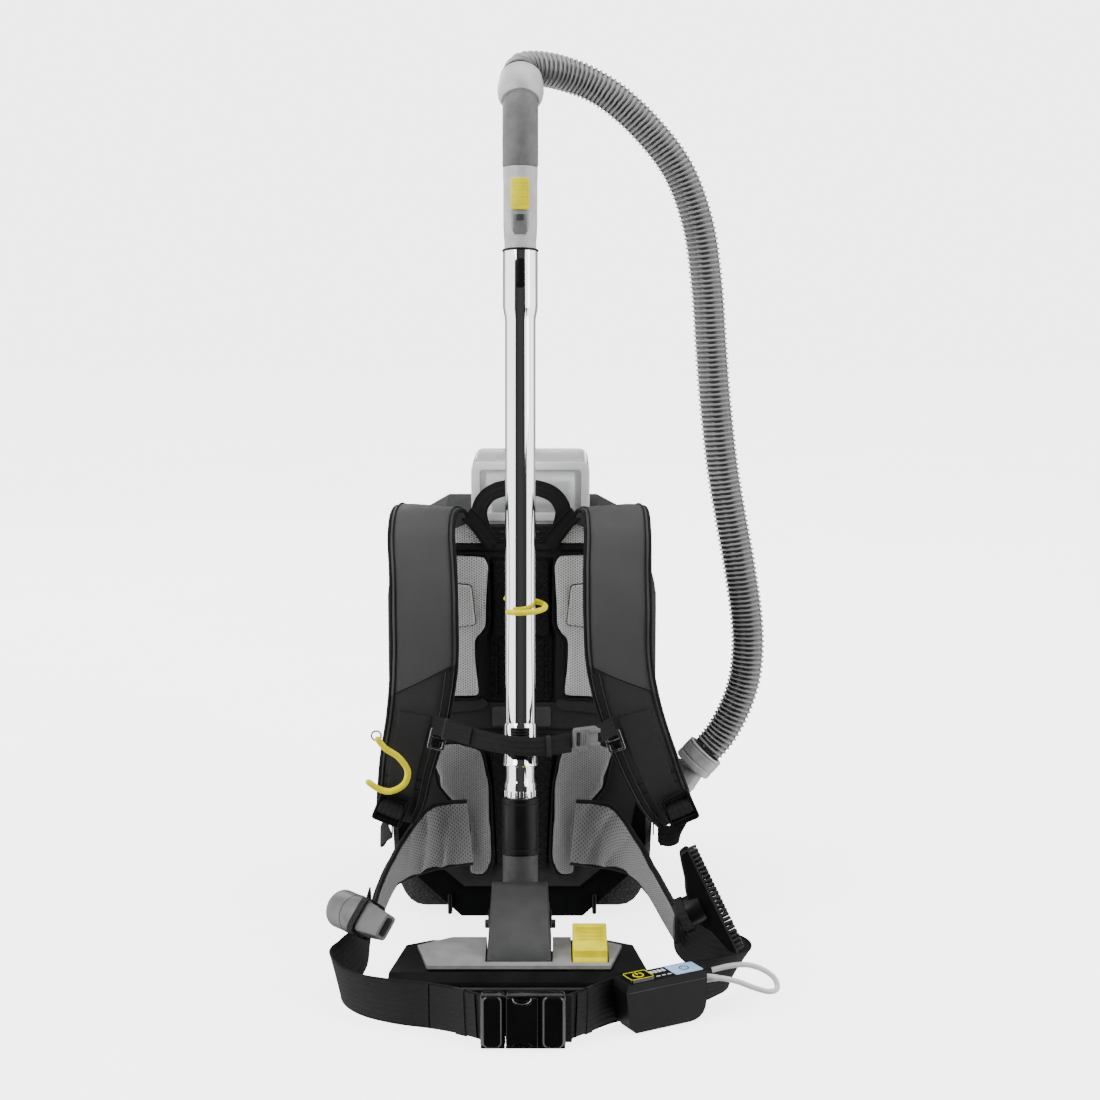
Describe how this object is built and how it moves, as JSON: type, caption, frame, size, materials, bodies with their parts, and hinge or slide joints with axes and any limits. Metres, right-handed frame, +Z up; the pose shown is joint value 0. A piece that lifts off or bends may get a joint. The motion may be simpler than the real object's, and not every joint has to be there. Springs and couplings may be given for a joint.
{
  "type": "backpack vacuum cleaner",
  "caption": "Battery backpack vacuum cleaner with a padded carrying frame, side hose, chrome telescopic wand and floor nozzle parked upright in front of its harness.",
  "frame": {"origin": "centre of the carrier foot's flat underside, on the floor", "axes": "+Z up; -Y from the pack to the harness, wand and belt buckle; +X to the side that the hose enters"},
  "size_m": [0.5141, 0.7174, 1.0363],
  "materials": {
    "foam": "beaded foam, dull",
    "black_plastic": "fine texture",
    "grey_plastic": "satin",
    "mid_grey_plastic": "satin",
    "light_grey_plastic": "satin",
    "yellow_plastic": "gloss",
    "chrome": "mirror polish",
    "clear_plastic": "translucent",
    "mesh_fabric": "spacer mesh",
    "nylon_fabric": "woven",
    "webbing": "ribbed weave",
    "hose_plastic": "corrugated",
    "cable_rubber": "smooth",
    "filter_fleece": "fleece",
    "bristle": "bristles"
  },
  "bodies": {
    "pack": {"pod_body": "foam", "carrier_frame": "black_plastic", "motor_unit": "grey_plastic", "filter_bag": "filter_fleece", "exhaust_grille": "black_plastic", "battery": "black_plastic", "inlet_elbow": "light_grey_plastic", "back_panel": "nylon_fabric", "upper_pad_left": "mesh_fabric", "upper_pad_right": "mesh_fabric", "lower_pad_left": "mesh_fabric", "lower_pad_right": "mesh_fabric", "shoulder_strap_left": "nylon_fabric", "shoulder_strap_right": "nylon_fabric", "grab_handle": "webbing", "anchor_webbing_left": "webbing", "anchor_webbing_right": "webbing", "ladder_lock_left": "black_plastic", "ladder_lock_right": "black_plastic", "sternum_strap_left": "webbing", "sternum_strap_right": "webbing", "sternum_buckle": "black_plastic", "hip_wing_left": "mesh_fabric", "hip_wing_right": "mesh_fabric", "belt_webbing_left": "webbing", "belt_webbing_right": "webbing", "belt_buckle_female": "black_plastic", "belt_buckle_male": "black_plastic", "control_unit": "black_plastic", "control_cable": "cable_rubber", "crevice_loop": "webbing", "brush_loop": "webbing", "wand_hook": "yellow_plastic", "nozzle_sleeve": "black_plastic", "lower_tube": "chrome", "hose": "hose_plastic"},
    "wand_upper": {"upper_tube": "chrome", "lock_collar": "chrome", "handle_body": "light_grey_plastic", "handle_grip": "mid_grey_plastic"},
    "lock_button": {"lock_button": "black_plastic"},
    "air_slider": {"air_slider": "yellow_plastic"},
    "handle_cuff": {"handle_cuff": "black_plastic"},
    "inlet_cuff": {"inlet_cuff": "light_grey_plastic"},
    "nozzle_neck": {"nozzle_neck": "mid_grey_plastic"},
    "nozzle": {"nozzle_body": "black_plastic", "nozzle_top_plate": "light_grey_plastic", "nozzle_hood": "grey_plastic"},
    "nozzle_pedal": {"nozzle_pedal": "yellow_plastic"},
    "brush_strip": {"brush_strip": "bristle"},
    "wheel_left": {"nozzle_wheel_left": "mid_grey_plastic"},
    "wheel_right": {"nozzle_wheel_right": "mid_grey_plastic"},
    "rear_lid": {"rear_lid": "grey_plastic"},
    "latch_left": {"lid_latch_left": "yellow_plastic"},
    "latch_right": {"lid_latch_right": "yellow_plastic"},
    "battery_cover": {"battery_cover": "clear_plastic"},
    "power_button": {"power_button": "black_plastic"},
    "strap_hook": {"strap_hook": "yellow_plastic"},
    "crevice_tool": {"crevice_tool": "light_grey_plastic"},
    "brush_tool": {"brush_tool": "black_plastic"}
  },
  "joints": [
    {"name": "wand_telescope", "type": "slide", "parent": "pack", "child": "wand_upper", "axis": [0, 0.1736, 0.9848], "range_m": [0, 0.36], "deforming": ["hose"]},
    {"name": "lock_button_press", "type": "slide", "parent": "wand_upper", "child": "lock_button", "axis": [0, 0.1736, 0.9848], "range_m": [0, 0.004], "stiffness_N_per_m": 150, "springref_m": -0.001},
    {"name": "air_slider_slide", "type": "slide", "parent": "wand_upper", "child": "air_slider", "axis": [0, -0.1736, -0.9848], "range_m": [0, 0.012]},
    {"name": "handle_cuff_swivel", "type": "hinge", "parent": "wand_upper", "child": "handle_cuff", "pos_m": [0, -0.08207, 0.98794], "axis": [0, 0.8192, 0.5736], "continuous": true},
    {"name": "inlet_cuff_swivel", "type": "hinge", "parent": "pack", "child": "inlet_cuff", "pos_m": [0.22, -0.02, 0.174], "axis": [0.6702, 0, 0.7422], "continuous": true},
    {"name": "nozzle_swivel", "type": "hinge", "parent": "pack", "child": "nozzle_neck", "pos_m": [0, -0.2716, 0.048], "axis": [0, 0.1736, 0.9848], "range_deg": [-15, 15]},
    {"name": "nozzle_tilt", "type": "hinge", "parent": "nozzle_neck", "child": "nozzle", "pos_m": [0, -0.2716, 0.048], "axis": [1, 0, 0], "range_deg": [0, 40]},
    {"name": "pedal_rock", "type": "hinge", "parent": "nozzle", "child": "nozzle_pedal", "pos_m": [0.078, -0.352, 0.044], "axis": [1, 0, 0], "range_deg": [0, 8]},
    {"name": "brush_strip_lift", "type": "slide", "parent": "nozzle", "child": "brush_strip", "axis": [0, 0, 1], "range_m": [0, 0.004], "stiffness_N_per_m": 1, "springref_m": 0.0602},
    {"name": "wheel_left_spin", "type": "hinge", "parent": "nozzle", "child": "wheel_left", "pos_m": [-0.05, -0.306, 0.0148], "axis": [1, 0, 0], "continuous": true},
    {"name": "wheel_right_spin", "type": "hinge", "parent": "nozzle", "child": "wheel_right", "pos_m": [0.05, -0.306, 0.0148], "axis": [1, 0, 0], "continuous": true},
    {"name": "rear_lid_hinge", "type": "hinge", "parent": "pack", "child": "rear_lid", "pos_m": [0, 0.1654, 0.03], "axis": [-1, 0, 0], "range_deg": [0, 85]},
    {"name": "latch_left_turn", "type": "hinge", "parent": "rear_lid", "child": "latch_left", "pos_m": [-0.08, 0.1946, 0.243], "axis": [-1, 0, 0], "range_deg": [0, 60]},
    {"name": "latch_right_turn", "type": "hinge", "parent": "rear_lid", "child": "latch_right", "pos_m": [0.08, 0.1946, 0.243], "axis": [-1, 0, 0], "range_deg": [0, 60]},
    {"name": "battery_cover_hinge", "type": "hinge", "parent": "pack", "child": "battery_cover", "pos_m": [0.01, 0.0275, 0.498], "axis": [-1, 0, 0], "range_deg": [0, 90]},
    {"name": "power_button_press", "type": "slide", "parent": "pack", "child": "power_button", "axis": [0, 0, -1], "range_m": [0, 0.0015], "stiffness_N_per_m": 400, "springref_m": -0.0005},
    {"name": "strap_hook_swing", "type": "hinge", "parent": "pack", "child": "strap_hook", "pos_m": [-0.166, -0.225, 0.256], "axis": [0, -1, 0], "range_deg": [-20, 20]},
    {"name": "crevice_tool_pull", "type": "slide", "parent": "pack", "child": "crevice_tool", "axis": [-0.622, 0.7825, -0.0301], "range_m": [0, 0.03]},
    {"name": "brush_tool_pull", "type": "slide", "parent": "pack", "child": "brush_tool", "axis": [0.9026, 0, 0.4305], "range_m": [0, 0.01]}
  ],
  "couplings": [
    {"joint": "brush_strip_lift", "follows": "pedal_rock", "m_per_rad": 0.0286}
  ]
}
